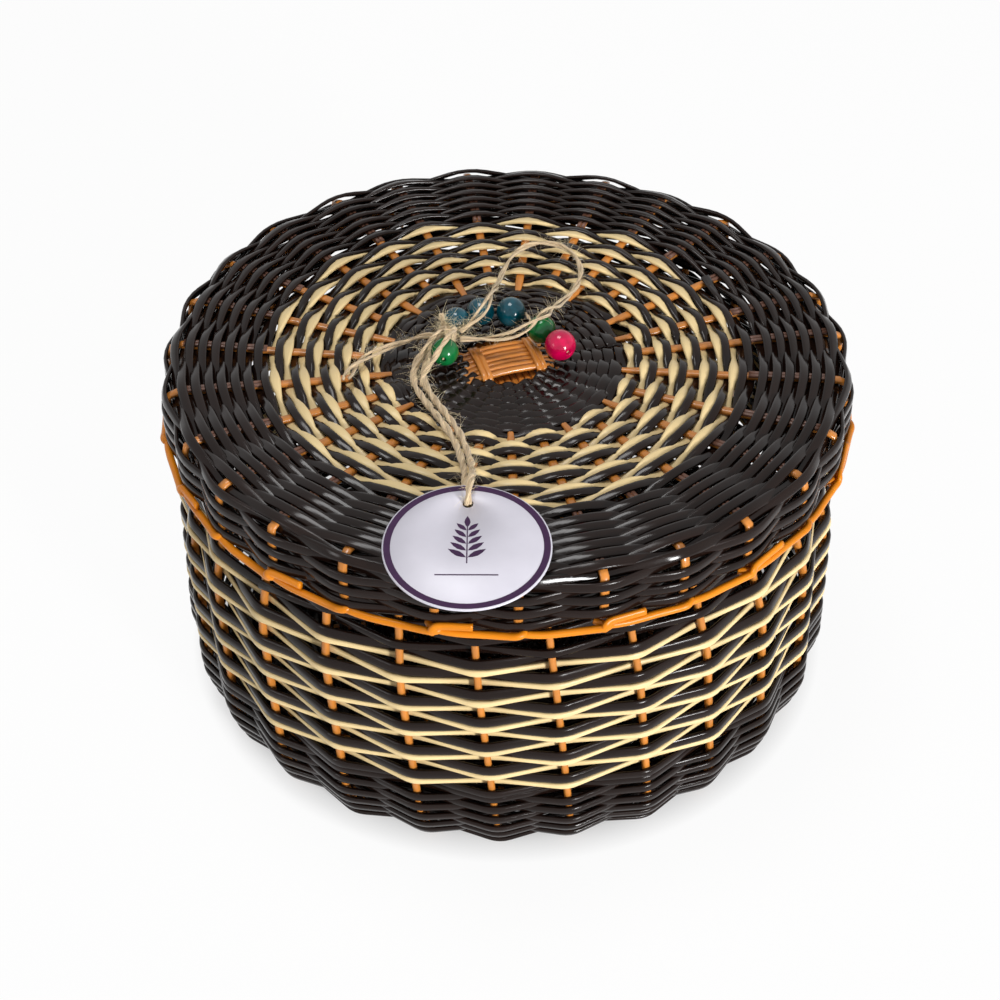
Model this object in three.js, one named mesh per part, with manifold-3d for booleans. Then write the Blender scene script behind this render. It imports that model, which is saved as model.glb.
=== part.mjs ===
// Round wicker storage basket with a lift-off lid, in millimetres, +Z up.
// The origin is the centre of the flat base, on the surface that the basket stands on.
import * as THREE from "three";
import { mergeVertices } from "three/addons/utils/BufferGeometryUtils.js";
import Module from "manifold-3d";

// Driving dimensions: strands and stakes
const STAKES = 27; // an odd count, so that one strand can spiral over and under
const STAKE_R = 1.8;
const STRAND_THICKNESS = 3.0; // of one woven strand, across the wall
const SCALLOP = 0.7; // how far the wall draws in between two stakes
const RELIEF = 2.2; // how far the open rows draw in where they pass behind a stake
const FIT = 0.3; // clearance between neighbouring pieces
const SLATH_RODS = 7; // rods in each of the two layers that cross at the centre
const ROD_GAP = 0.5; // between neighbouring rods of a layer
const SLATH_FAN = 17; // distance from the centre at which the crossed rods spread out
const FAN_RADIUS = 30; // where the spread rods have come back to the middle of the weave
const BINDING_R = 1.5;
const CENTRE_HOLE_R = 22; // the weave starts round the crossed rods here

// Driving dimensions: basket
const BASKET_HEIGHT = 154.4; // floor to the top of the rim
const FOOT_DRAW_IN = 5; // how far the foot lies inside the belly
const FOOT_HEIGHT = 8;
const FOOT_CURVE = 9.5; // the base is flat up to this far inside the foot
const FOOT_BEND_IN = 0.9; // where the stakes turn up, inside the wall's middle at the foot
const FOOT_BEND_UP = 0.8; // and above the base's middle
const BELLY_RADIUS = 149;
const BELLY_BOTTOM = 22;
const BELLY_TOP = 94;
const LATTICE_BOTTOM = 43; // the light and dark pairs of strands run from here
const LATTICE_TOP = 114.5; // up to here
const LATTICE_FIRST = 45.4; // height of the middle of the first pair, at the front
const LATTICE_PITCH = 7.07; // from one pair to the next
const SEAM_STAKE = 6; // at the back, where two stakes in a row are passed on the same side
const BASKET_PHASE = 15.5; // degrees, direction of the first stake at the floor
const LEAN = -0.0371; // degrees that the stakes turn in each millimetre of height
const RIM_BORDER_R = 2.3;

// Driving dimensions: lid
const LID_RADIUS = 150;
const SKIRT_DROP = 30; // lid top to the middle of its lower border
const SHOULDER_R = 5; // bend of the stakes between the top and the skirt
const DISH = 5.5; // how far the middle of the lid lies below its edge
const LID_ROD_SINK = 1.5; // the lid's crossed rods lie this far below the middle of its weave
const LID_CENTRE_R = 54.4; // dark middle of the lid
const LID_EDGE_WIDTH = 36.7; // dark ring between the light ring and the shoulder
const LID_PHASE = 18.25;
const LID_BORDER_R = 2.3;
const LID_LIFT_CLEARANCE = 1.2; // between the rim of the basket and the skirt

// Driving dimensions: beads, twine and tag
const STRING_R = 0.8;
const BEAD_BORE_R = 2;
const BEAD_SMALL_R = 6;
const BEAD_MIDDLE_R = 6.1;
const BEAD_LARGE_R = 6.5;
const BEAD_PINK_R = 6.7;
const TWINE_R = 1.4;
const KNOT_R = 4.6;
const KNOT_END_R = 3.2;
const KNOT_LENGTH = 8;
const TAG_R = 32.5;
const TAG_THICKNESS = 1;
const TAG_TILT = 5; // degrees, the tag's front edge lies lower
const TAG_HOLE_R = 2.1;
const TAG_HOLE_INSET = 10.2; // from the tag's edge to the middle of its hole
const TAG_CENTRE = [-15, -133.2, 1.6]; // from the middle of the lid's edge plane

// Derived values
const STEP = 360 / STAKES;
const WALL = STAKE_R + STRAND_THICKNESS; // half of the woven wall
const ROD_PITCH = 2 * STAKE_R + ROD_GAP;
const ROD_LAYER = STAKE_R + FIT / 2;
const SKIRT_MID_R = LID_RADIUS - WALL;
const RIM_MID_R = SKIRT_MID_R - 2 * WALL - LID_LIFT_CLEARANCE;
const TOP_FLAT_R = SKIRT_MID_R - SHOULDER_R;
const LID_RING_R = TOP_FLAT_R - LID_EDGE_WIDTH; // outside of the light ring
const FOOT_RADIUS = BELLY_RADIUS - FOOT_DRAW_IN; // outside of the wall just above the base
const BASE_FLAT_R = FOOT_RADIUS - FOOT_CURVE;
const dishAt = (r) => DISH * Math.max(0, 1 - (r / TOP_FLAT_R) ** 2);
const LID_MID_Z = BASKET_HEIGHT + FIT + WALL + dishAt(RIM_MID_R - RIM_BORDER_R);
const LID_TOP = LID_MID_Z + WALL;
const LID_BORDER_Z = LID_TOP - SKIRT_DROP;
const SKIRT_END_Z = LID_BORDER_Z + LID_BORDER_R + FIT;
const RIM_BORDER_Z = BASKET_HEIGHT - RIM_BORDER_R;
const WALL_END_Z = RIM_BORDER_Z - RIM_BORDER_R - FIT;

const ROD_SIDES = 5;
const CHANNEL_SIDES = 4;

const wasm = await Module();
wasm.setup();

// Colours of the real finishes
const finish = (color, roughness) =>
  new THREE.MeshStandardMaterial({ color, roughness, metalness: 0 });
const DARK = () => finish(0x2e2523, 0.4);
const CREAM = () => finish(0xdccb90, 0.45);
const ORANGE = () => finish(0xd9831c, 0.4);
const JUTE = () => finish(0xb89568, 0.95);

const object = new THREE.Group();
const lid = new THREE.Group();
lid.position.z = LID_TOP;
object.add(lid);

function place(parent, name, geometry, material) {
  const mesh = new THREE.Mesh(geometry, material);
  mesh.name = name;
  parent.add(mesh);
  return mesh;
}

const rad = THREE.MathUtils.degToRad;
const polar = (r, degrees, z) =>
  new THREE.Vector3(r * Math.cos(rad(degrees)), r * Math.sin(rad(degrees)), z);

// A closed surface from a grid of rings; the rings close on themselves, and so does the grid if asked.
function gridGeometry(rings, closed) {
  const sides = rings[0].length;
  const position = rings.flat().flatMap((p) => [p.x, p.y, p.z]);
  const index = [];
  const last = closed ? rings.length : rings.length - 1;
  for (let i = 0; i < last; i++) {
    for (let j = 0; j < sides; j++) {
      const a = i * sides + j;
      const b = i * sides + ((j + 1) % sides);
      const c = ((i + 1) % rings.length) * sides + ((j + 1) % sides);
      const d = ((i + 1) % rings.length) * sides + j;
      index.push(a, b, c, a, c, d);
    }
  }
  if (!closed) {
    const end = (rings.length - 1) * sides;
    for (let j = 1; j < sides - 1; j++) {
      index.push(0, j + 1, j, end, end + j, end + j + 1);
    }
  }
  const geometry = new THREE.BufferGeometry();
  geometry.setAttribute("position", new THREE.Float32BufferAttribute(position, 3));
  geometry.setIndex(index);
  return geometry;
}

// A rod of straight stretches through the points, with mitred bends and flat ends.
function rodGeometry(points, radius, sides = ROD_SIDES) {
  const rings = [];
  let side = null;
  points.forEach((point, i) => {
    const before = points[Math.max(i - 1, 0)];
    const after = points[Math.min(i + 1, points.length - 1)];
    const tangent = point.clone().sub(before).normalize();
    tangent.add(after.clone().sub(point).normalize()).normalize();
    side ??= new THREE.Vector3(0, 0, 1).cross(tangent).lengthSq() > 0.01
      ? new THREE.Vector3(0, 0, 1)
      : new THREE.Vector3(point.x, point.y, 0).normalize();
    side = side.clone().addScaledVector(tangent, -side.dot(tangent)).normalize();
    const across = tangent.clone().cross(side);
    rings.push(
      Array.from({ length: sides }, (_, k) => {
        const turn = (2 * Math.PI * (k + 0.5)) / sides;
        return point
          .clone()
          .addScaledVector(side, radius * Math.cos(turn))
          .addScaledVector(across, radius * Math.sin(turn));
      }),
    );
  });
  return gridGeometry(rings, false);
}

function solidOf(geometry) {
  const bare = geometry.clone();
  bare.deleteAttribute("normal");
  bare.deleteAttribute("uv");
  const merged = mergeVertices(bare, 1e-4);
  return new wasm.Manifold(
    new wasm.Mesh({
      numProp: 3,
      vertProperties: new Float32Array(merged.attributes.position.array),
      triVerts: new Uint32Array(merged.index.array),
    }),
  );
}

function geometryOf(solid) {
  const { vertProperties, triVerts } = solid.getMesh();
  const geometry = new THREE.BufferGeometry();
  geometry.setAttribute("position", new THREE.BufferAttribute(vertProperties, 3));
  geometry.setIndex(new THREE.BufferAttribute(triVerts, 1));
  return geometry;
}

// A woven ring: it follows the middle line of the weave, [radius, height] inwards to outwards or
// down to up, stands out at each stake and draws in between stakes. In open rows each point of the
// line is one pair of strands, which passes in front of one stake and behind the next.
function weaveSolid(line, phaseAt, stepsPerStake, scallop = SCALLOP, openRows = false) {
  const normals = line.map((_, i) => {
    const [r0, z0] = line[Math.max(i - 1, 0)];
    const [r1, z1] = line[Math.min(i + 1, line.length - 1)];
    const length = Math.hypot(r1 - r0, z1 - z0);
    const [nr, nz] = [(z1 - z0) / length, (r0 - r1) / length];
    if (i > 0 && i < line.length - 1) return [nr, nz];
    return Math.abs(nr) > Math.abs(nz) ? [Math.sign(nr), 0] : [0, Math.sign(nz)]; // square ends
  });
  const rings = [];
  for (let i = 0; i < STAKES * stepsPerStake; i++) {
    const between = i % stepsPerStake > 0;
    const stake = (i / stepsPerStake - SEAM_STAKE + STAKES) % STAKES;
    const turn = stepsPerStake === 1 ? (i + 0.5) * STEP : (i * STEP) / stepsPerStake;
    const point = (j, sign) => {
      const [r, z] = line[j];
      const [nr, nz] = normals[j];
      const end = j === 0 || j === line.length - 1;
      const side = (stake + j) % 2 ? 1 : -1;
      const drawnIn = between || (openRows && (end || side !== sign));
      const half = drawnIn ? WALL - scallop : WALL;
      return polar(r + sign * half * nr, phaseAt(z) + turn, z + sign * half * nz);
    };
    const outer = line.map((_, j) => point(j, 1)).reverse();
    const inner = line.map((_, j) => point(j, -1));
    rings.push([...outer, ...inner]);
  }
  return solidOf(gridGeometry(rings, true));
}

// The stub that the border strand leaves at each stake shows as a slight bulge.
function borderGeometry(radius, z, thickness, phase) {
  const rings = [];
  for (let i = 0; i < 2 * STAKES; i++) {
    const middle = i % 2 ? radius - SCALLOP : radius;
    const ring = [];
    for (let k = 0; k < ROD_SIDES; k++) {
      const turn = (-2 * Math.PI * k) / ROD_SIDES;
      ring.push(
        polar(middle + thickness * Math.cos(turn), phase + (i * STEP) / 2, z + thickness * Math.sin(turn)),
      );
    }
    rings.push(ring);
  }
  return gridGeometry(rings, true);
}

// Crossed rods: seven lie over seven at the centre, and their ends fan out to the stakes.
// One rod of the upper layer is cut at the centre, which leaves an odd number of stakes.
const HALF_RODS = (SLATH_RODS - 1) / 2;
function crossedRods(phase, middleZ, upperSign, stakeLine) {
  const rods = [];
  const spokes = [
    { from: -HALF_RODS, turn: 0 },
    { from: -HALF_RODS + SLATH_RODS, turn: 90 },
    { from: -HALF_RODS + 2 * SLATH_RODS, turn: 180 },
    { from: -HALF_RODS + 3 * SLATH_RODS - 1, turn: 270 },
  ];
  const end = (sector, place) => {
    const across = (place - HALF_RODS) * ROD_PITCH;
    const radius = Math.hypot(SLATH_FAN, across);
    const bearing = THREE.MathUtils.radToDeg(Math.atan2(across, SLATH_FAN));
    return { radius, degrees: phase + sector.turn + bearing, stake: sector.from + place };
  };
  for (let layer = 0; layer < 2; layer++) {
    const near = spokes[layer];
    const far = spokes[layer + 2];
    const z = middleZ + (layer === 0 ? upperSign : -upperSign) * ROD_LAYER;
    for (let i = 0; i < SLATH_RODS; i++) {
      const a = end(near, i);
      const opposite = SLATH_RODS - 1 - i;
      const b = end(far, opposite);
      const cut = layer === 0 && opposite === SLATH_RODS - 1;
      const points = [...stakeLine(a.stake).reverse(), polar(a.radius, a.degrees, z)];
      points.push(polar(b.radius, b.degrees, z));
      if (!cut) points.push(...stakeLine(b.stake));
      rods.push(points);
    }
  }
  return rods;
}

const unionOf = (solids) => solids.reduce((sum, next) => sum.add(next));
// A four-sided channel that a rod of this radius lies in with its clearance
const channels = (rods, radius) => {
  const corner = (radius + FIT) / Math.cos(Math.PI / CHANNEL_SIDES);
  return unionOf(rods.map((points) => solidOf(rodGeometry(points, corner, CHANNEL_SIDES))));
};
const twoDigits = (i) => String(i + 1).padStart(2, "0");

// Basket wall: middle line of the weave from the base to the rim
const OUTSIDE = [
  [FOOT_RADIUS, FOOT_HEIGHT],
  [BELLY_RADIUS, BELLY_BOTTOM],
  [BELLY_RADIUS, BELLY_TOP],
];
const wallLine = [
  ...OUTSIDE.map(([r, z]) => [r - WALL, z]),
  [RIM_MID_R, LID_BORDER_Z - LID_BORDER_R],
  [RIM_MID_R, WALL_END_Z],
];
const wallAt = (z) => {
  const k = Math.max(1, wallLine.findIndex((p) => p[1] >= z));
  const [r0, z0] = wallLine[k - 1];
  const [r1, z1] = wallLine[k];
  return [r0 + ((r1 - r0) * (z - z0)) / (z1 - z0), z];
};
const wallBetween = (low, high) => [
  wallAt(low),
  ...wallLine.filter(([, z]) => z > low && z < high),
  wallAt(high),
];
const basketPhase = (z) => BASKET_PHASE + LEAN * z;
const BASE_MID_Z = WALL;
const CORNER = [FOOT_RADIUS - WALL - FOOT_BEND_IN, BASE_MID_Z + FOOT_BEND_UP];

const basketRods = crossedRods(BASKET_PHASE, BASE_MID_Z, 1, (stake) => [
  polar(FAN_RADIUS, basketPhase(BASE_MID_Z) + stake * STEP, BASE_MID_Z),
  polar(BASE_FLAT_R, basketPhase(BASE_MID_Z) + stake * STEP, BASE_MID_Z),
  polar(CORNER[0], basketPhase(CORNER[1]) + stake * STEP, CORNER[1]),
  ...wallLine.map(([r, z]) => polar(r, basketPhase(z) + stake * STEP, z)),
]);
basketRods.forEach((points, i) =>
  place(object, "basket_stake_" + twoDigits(i), rodGeometry(points, STAKE_R), ORANGE()),
);
const basketChannels = channels(basketRods, STAKE_R);

function basketWeave(name, line, material, scallop, openRows) {
  const solid = weaveSolid(line, basketPhase, 2, scallop, openRows).subtract(basketChannels);
  place(object, name, geometryOf(solid), material);
}
basketWeave(
  "base_weave",
  [[CENTRE_HOLE_R, BASE_MID_Z], [BASE_FLAT_R - FIT, BASE_MID_Z]],
  DARK(),
  0,
);
basketWeave(
  "wall_lower_weave",
  [[BASE_FLAT_R, BASE_MID_Z], CORNER, ...wallBetween(FOOT_HEIGHT, LATTICE_BOTTOM - FIT)],
  DARK(),
);
const latticeRows = [];
for (let z = LATTICE_FIRST; z < LATTICE_TOP - LATTICE_PITCH / 2; z += LATTICE_PITCH) {
  latticeRows.push(wallAt(z));
}
basketWeave(
  "wall_lattice_weave",
  [wallAt(LATTICE_BOTTOM), ...latticeRows, wallAt(LATTICE_TOP)],
  CREAM(),
  RELIEF,
  true,
);
basketWeave("wall_upper_weave", wallBetween(LATTICE_TOP + FIT, WALL_END_Z), DARK());
place(
  object,
  "basket_rim_border",
  borderGeometry(RIM_MID_R, RIM_BORDER_Z, RIM_BORDER_R, basketPhase(RIM_BORDER_Z)),
  ORANGE(),
);

// Lid, in its own group, whose origin is the middle of the lid's edge plane
const MID = -WALL;
const midAt = (r) => [r, MID - dishAt(r)];
const lidPhase = () => LID_PHASE;
const SHOULDER_SHARE = Math.SQRT1_2; // sine and cosine half way round the bend
const skirtLine = [
  [TOP_FLAT_R, MID],
  [TOP_FLAT_R + SHOULDER_R * SHOULDER_SHARE, MID - SHOULDER_R * (1 - SHOULDER_SHARE)],
  [SKIRT_MID_R, MID - SHOULDER_R],
  [SKIRT_MID_R, SKIRT_END_Z - LID_TOP],
];
const LID_MIDWAY_R = (LID_CENTRE_R + LID_RING_R) / 2;

const LID_CROSSING_Z = MID - dishAt(0) - LID_ROD_SINK;
const lidRods = crossedRods(LID_PHASE, LID_CROSSING_Z, 1, (stake) =>
  [midAt(FAN_RADIUS), midAt(LID_MIDWAY_R), ...skirtLine].map(([r, z]) =>
    polar(r, LID_PHASE + stake * STEP, z),
  ),
);
lidRods.forEach((points, i) =>
  place(lid, "lid_stake_" + twoDigits(i), rodGeometry(points, STAKE_R), ORANGE()),
);

// Two bindings cross over the upper rods of the lid, one at each end of the crossing.
const BINDING_S = HALF_RODS * ROD_PITCH + STAKE_R + FIT + BINDING_R;
const BINDING_Z = LID_CROSSING_Z + ROD_LAYER + STAKE_R + FIT + BINDING_R;
const bindings = [1, -1].map((side) => {
  const at = (across, z) =>
    polar(
      Math.hypot(BINDING_S, across),
      LID_PHASE + THREE.MathUtils.radToDeg(Math.atan2(across, side * BINDING_S)),
      z,
    );
  const end = BINDING_Z - ROD_LAYER - STAKE_R;
  return [
    at(-BINDING_S - BINDING_R, end),
    at(-BINDING_S + BINDING_R, BINDING_Z),
    at(BINDING_S - BINDING_R, BINDING_Z),
    at(BINDING_S + BINDING_R, end),
  ];
});
["right", "left"].forEach((side, i) =>
  place(lid, "slath_binding_" + side, rodGeometry(bindings[i], BINDING_R), ORANGE()),
);
const lidChannels = channels(lidRods, STAKE_R).add(channels(bindings, BINDING_R));

function lidWeave(name, line, material, stepsPerStake, scallop) {
  const inwards = [...line].reverse();
  const solid = weaveSolid(inwards, lidPhase, stepsPerStake, scallop).subtract(lidChannels);
  place(lid, name, geometryOf(solid), material);
}
lidWeave("lid_centre_weave", [midAt(CENTRE_HOLE_R), midAt(LID_CENTRE_R - FIT)], DARK(), 1);
lidWeave(
  "lid_ring_weave",
  [midAt(LID_CENTRE_R), midAt(LID_RING_R - FIT)],
  CREAM(),
  2,
);
lidWeave("lid_outer_weave", [midAt(LID_RING_R), midAt(TOP_FLAT_R - FIT)], DARK(), 2, RELIEF);
lidWeave("lid_skirt_weave", skirtLine, DARK(), 2);
place(
  lid,
  "lid_border",
  borderGeometry(LID_RADIUS - LID_BORDER_R / 2, LID_BORDER_Z - LID_TOP, LID_BORDER_R, LID_PHASE),
  ORANGE(),
);

// Bead string: straight inside each bead, with its bends between them
const STRING_HEIGHT = 1.7; // above the lid's edge plane
const stringPoints = [
  [-28.6, -19.6, -4.2],
  [-27.2, -15.9, STRING_HEIGHT],
  [-25.8, -2.6, STRING_HEIGHT],
  [-25.6, 7.2, STRING_HEIGHT],
  [-18.4, 18.7, STRING_HEIGHT],
  [-4.9, 21.6, STRING_HEIGHT],
  [8.3, 18.3, STRING_HEIGHT],
  [10.8, 12.2, STRING_HEIGHT],
  [18.9, 1.9, STRING_HEIGHT],
  [26.6, -10.5, STRING_HEIGHT],
  [28.8, -14.2, -4.2],
].map((p) => new THREE.Vector3(...p));
place(lid, "bead_string", rodGeometry(stringPoints, STRING_R), JUTE());

// A bead or the twine's knot: a barrel with a bore, turned about its string
function threaded(name, segment, profile, material) {
  const a = stringPoints[segment];
  const b = stringPoints[segment + 1];
  const mesh = place(lid, name, new THREE.LatheGeometry(profile, 10), material);
  mesh.position.copy(a).add(b).multiplyScalar(0.5);
  mesh.quaternion.setFromUnitVectors(new THREE.Vector3(0, 1, 0), b.clone().sub(a).normalize());
}
function beadProfile(radius) {
  const half = Math.sqrt(radius ** 2 - BEAD_BORE_R ** 2);
  const start = Math.atan2(-half, BEAD_BORE_R);
  const profile = [];
  for (let i = 0; i <= 5; i++) {
    const turn = start - (2 * start * i) / 5;
    profile.push(new THREE.Vector2(radius * Math.cos(turn), radius * Math.sin(turn)));
  }
  return [...profile, profile[0].clone()];
}
const bead = (name, segment, radius, color) =>
  threaded(name, segment, beadProfile(radius), finish(color, 0.25));
bead("bead_green_front", 1, BEAD_SMALL_R, 0x1f8a55);
bead("bead_teal_left", 3, BEAD_MIDDLE_R, 0x0f6f86);
bead("bead_teal_middle", 4, BEAD_MIDDLE_R, 0x0f6f86);
bead("bead_teal_right", 5, BEAD_LARGE_R, 0x0f6f86);
bead("bead_green_back", 7, BEAD_MIDDLE_R, 0x1f8a55);
bead("bead_pink", 8, BEAD_PINK_R, 0xe01560);
const half = KNOT_LENGTH / 2;
const knotProfile = [
  [STRING_R + FIT, -half],
  [KNOT_END_R, -half],
  [KNOT_R, -half / 3],
  [KNOT_R, half / 3],
  [KNOT_END_R, half],
  [STRING_R + FIT, half],
  [STRING_R + FIT, -half],
].map((p) => new THREE.Vector2(...p));
threaded("twine_knot", 2, knotProfile, JUTE());

// Free twine: a tube along a smooth curve through points chosen by hand
function twineGeometry(points, steps) {
  const curve = new THREE.CatmullRomCurve3(points.map((p) => new THREE.Vector3(...p)));
  const section = new THREE.Shape();
  for (let k = 0; k < 8; k++) {
    const turn = (Math.PI * k) / 4;
    const [x, y] = [TWINE_R * Math.cos(turn), TWINE_R * Math.sin(turn)];
    if (k === 0) section.moveTo(x, y);
    else section.lineTo(x, y);
  }
  section.closePath();
  return new THREE.ExtrudeGeometry(section, { steps, extrudePath: curve });
}
const LOOP = [
  [-20.2, 4.6, 2.2],
  [-18.2, 5.4, 3.2],
  [-15.6, 7.0, 5.0],
  [-12.2, 9.6, 7.2],
  [-9.4, 13.4, 9.0],
  [-7.6, 18.6, 9.6],
  [-6.3, 26.5, 7.2],
  [-5.2, 35.0, 3.4],
  [-3.8, 45.0, 0.0],
  [-1.8, 56.5, -2.3],
  [2.2, 68.0, -2.1],
  [8.6, 76.0, -1.8],
  [16.2, 78.6, -1.7],
  [24.0, 76.4, -1.7],
  [30.4, 69.6, -2.0],
  [33.0, 60.0, -2.4],
  [32.2, 49.6, -2.4],
  [28.6, 38.4, -1.2],
  [24.2, 27.6, 1.8],
  [20.4, 16.4, 6.2],
  [16.4, 7.4, 9.7],
  [10.4, 1.2, 8.6],
  [3.2, -1.6, 5.6],
  [-5.0, -0.6, 2.6],
  [-13.0, 1.0, 0.9],
  [-20.2, 1.2, 0.6],
];
const TAIL = [
  [-30.9, 2.6, 1.4],
  [-33.4, 3.4, 1.0],
  [-36.6, 4.0, 0.0],
  [-40.0, 3.9, -1.2],
  [-43.6, 3.1, -2.2],
  [-47.2, 1.9, -2.7],
  [-50.6, 0.2, -2.8],
  [-53.8, -1.9, -2.8],
  [-56.8, -4.2, -2.7],
  [-59.6, -6.8, -2.7],
  [-62.0, -9.8, -2.6],
  [-64.0, -13.0, -2.5],
  [-65.6, -16.4, -2.4],
  [-66.9, -19.9, -2.3],
  [-67.9, -23.4, -2.2],
];
const TAG_CORD_OVER = [
  [-29.9, -3.2, -1.2],
  [-32.6, -6.6, -2.2],
  [-34.4, -11.4, -2.9],
  [-35.2, -18.0, -3.2],
  [-34.4, -25.4, -3.1],
  [-31.2, -34.0, -2.9],
  [-27.2, -42.2, -2.7],
  [-22.9, -51.0, -2.5],
  [-19.0, -60.4, -2.2],
  [-16.2, -70.4, -1.8],
  [-14.2, -80.6, -1.0],
  [-13.6, -88.6, 1.6],
  [-13.7, -95.2, 5.6],
  [-14.1, -101.4, 8.6],
  [-14.6, -106.6, 8.8],
  [-14.9, -109.9, 6.7],
  [-15.0, -111.2, 4.2],
];
const TAG_CORD_UNDER = [
  [-31.9, 0.0, -2.2],
  [-35.8, -3.4, -3.1],
  [-38.4, -8.8, -3.3],
  [-39.6, -16.8, -3.2],
  [-38.7, -26.2, -3.1],
  [-35.0, -35.6, -2.9],
  [-30.7, -44.0, -2.7],
  [-26.2, -52.8, -2.5],
  [-22.4, -61.8, -2.2],
  [-19.4, -71.4, -1.8],
  [-17.4, -81.2, -1.4],
  [-16.7, -88.0, -1.1],
  [-16.4, -94.4, -0.7],
  [-16.1, -100.6, -0.2],
  [-16.0, -106.4, 0.2],
];
place(lid, "twine_loop", twineGeometry(LOOP, 32), JUTE());
place(lid, "twine_tail", twineGeometry(TAIL, 12), JUTE());
place(lid, "tag_cord_over", twineGeometry(TAG_CORD_OVER, 20), JUTE());
place(lid, "tag_cord_under", twineGeometry(TAG_CORD_UNDER, 18), JUTE());

// Round card tag with its hole at the back, lying on the lid's front edge
const card = new THREE.Shape();
card.absarc(0, 0, TAG_R, 0, 2 * Math.PI);
const hole = new THREE.Path();
hole.absarc(0, TAG_R - TAG_HOLE_INSET, TAG_HOLE_R, 0, 2 * Math.PI, true);
card.holes.push(hole);
const tag = place(
  lid,
  "tag",
  new THREE.ExtrudeGeometry(card, { depth: TAG_THICKNESS, bevelEnabled: false, curveSegments: 12 }),
  finish(0xe9e7ee, 0.35),
);
tag.position.set(...TAG_CENTRE);
tag.rotation.x = rad(TAG_TILT);

export default object;
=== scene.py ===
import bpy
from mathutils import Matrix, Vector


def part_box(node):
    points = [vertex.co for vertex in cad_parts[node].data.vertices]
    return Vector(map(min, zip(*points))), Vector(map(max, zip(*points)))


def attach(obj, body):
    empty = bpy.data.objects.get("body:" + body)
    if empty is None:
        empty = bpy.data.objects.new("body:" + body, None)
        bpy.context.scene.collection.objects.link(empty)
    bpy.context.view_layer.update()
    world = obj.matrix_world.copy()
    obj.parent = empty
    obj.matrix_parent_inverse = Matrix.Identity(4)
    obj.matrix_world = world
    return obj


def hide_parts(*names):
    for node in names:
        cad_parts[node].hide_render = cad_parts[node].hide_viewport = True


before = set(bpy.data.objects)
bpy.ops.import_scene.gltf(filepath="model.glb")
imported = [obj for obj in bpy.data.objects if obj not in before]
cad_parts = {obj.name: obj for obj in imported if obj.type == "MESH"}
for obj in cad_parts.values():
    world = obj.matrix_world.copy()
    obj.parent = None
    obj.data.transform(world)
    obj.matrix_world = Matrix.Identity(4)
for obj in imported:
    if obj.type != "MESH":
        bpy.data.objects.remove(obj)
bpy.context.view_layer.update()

import math
import random
from bisect import bisect_right
from collections import namedtuple

import bpy
from bpy.props import FloatProperty, FloatVectorProperty, IntProperty, PointerProperty
from mathutils import Matrix, Vector

bl_info = {
    "name": "Lidded wicker basket",
    "version": (1, 0, 0),
    "blender": (4, 5, 0),
    "location": "3D View > Sidebar > Basket",
    "description": "Weaves a round basket with its lid, beads, twine and card tag",
    "category": "Add Mesh",
}


def middle_height(node):
    return (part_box(node)[0][2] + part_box(node)[1][2]) / 2


MM = 0.001
UP = Vector((0, 0, 1))
STAKES = 27  # an odd count, so one strand can spiral over and under all the way
STEP = 2 * math.pi / STAKES
LID_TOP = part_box("lid_outer_weave")[1][2]  # edge plane of the lid
LID_MIDDLE = LID_TOP - 4.8 * MM  # the stakes' height at the lid's shoulder
LID_DISH = 5.5 * MM  # how far the lid sinks towards its centre
LID_FLAT = 140.2 * MM
SKIRT_R = 146.3 * MM
LID_RING = 54.8 * MM  # where the first pair of the lid's ring begins
RING_PITCH = 6.4 * MM
CROSSING_R = 12 * MM  # half the length of the rods' crossing
CROSSING_SINK = 1.5 * MM
LAYER = 1.6 * MM  # height of the crossing's upper layer over its middle, and depth of the lower one
ROD_PITCH = 2.95 * MM  # spacing of the lid's rods where they cross
BORDER_Z = middle_height("lid_border")
RIM_R = 134.4 * MM
RIM_Z = middle_height("basket_rim_border")
BASE_Z = 4.8 * MM
LATTICE_LOW = 40.4 * MM  # height at which the basket's first pair begins
LATTICE_PITCH = 7.07 * MM
TAG_THICKNESS = 1.0 * MM
ROUND_STEPS = 96  # sides of the tag's circles


def linear(code):
    """Turns an sRGB hex colour into Blender's linear red, green and blue."""
    parts = [int(code[i : i + 2], 16) / 255 for i in (1, 3, 5)]
    return tuple(c / 12.92 if c <= 0.04045 else ((c + 0.055) / 1.055) ** 2.4 for c in parts)


def length_prop(name, description, millimetres):
    default = millimetres * MM
    return FloatProperty(
        name=name, description=description, default=default, min=0.0, subtype="DISTANCE", unit="LENGTH"
    )


def colour_prop(name, description, code):
    return FloatVectorProperty(
        name=name, description=description, default=linear(code), min=0.0, max=1.0, size=3, subtype="COLOR"
    )


class BasketSizes(bpy.types.PropertyGroup):
    """Sizes that a maker of such a basket would choose"""

    strand_width: length_prop("Strand width", "Width of a dark strand where it passes over a stake", 4.1)
    strand_thickness: length_prop("Strand thickness", "Thickness of a strand across the wall", 2.3)
    cream_width: length_prop("Cream strand width", "Width of the cream strand in the lid's ring", 4.0)
    lid_stake_width: length_prop("Lid stake width", "Width of the lid's stakes outside its centre", 3.8)
    stake_width: length_prop("Basket stake width", "Width of the basket's stakes", 3.1)
    stake_thickness: length_prop("Stake thickness", "Thickness of the basket's stakes", 3.4)
    border_width: length_prop("Border strand", "Width of the strand that closes the lid's edge", 3.2)
    twine_diameter: length_prop("Twine", "Diameter of the two-ply twine", 2.8)
    tag_radius: length_prop("Tag radius", "Radius of the round card tag", 32.5)
    hairs: IntProperty(
        name="Loose fibres", description="Loose fibres on each 100 mm of twine", default=220, min=0
    )
    unevenness: FloatProperty(
        name="Unevenness",
        description="How far rows and stakes stray, as by hand",
        default=1.0,
        min=0.0,
        subtype="FACTOR",
    )


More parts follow.
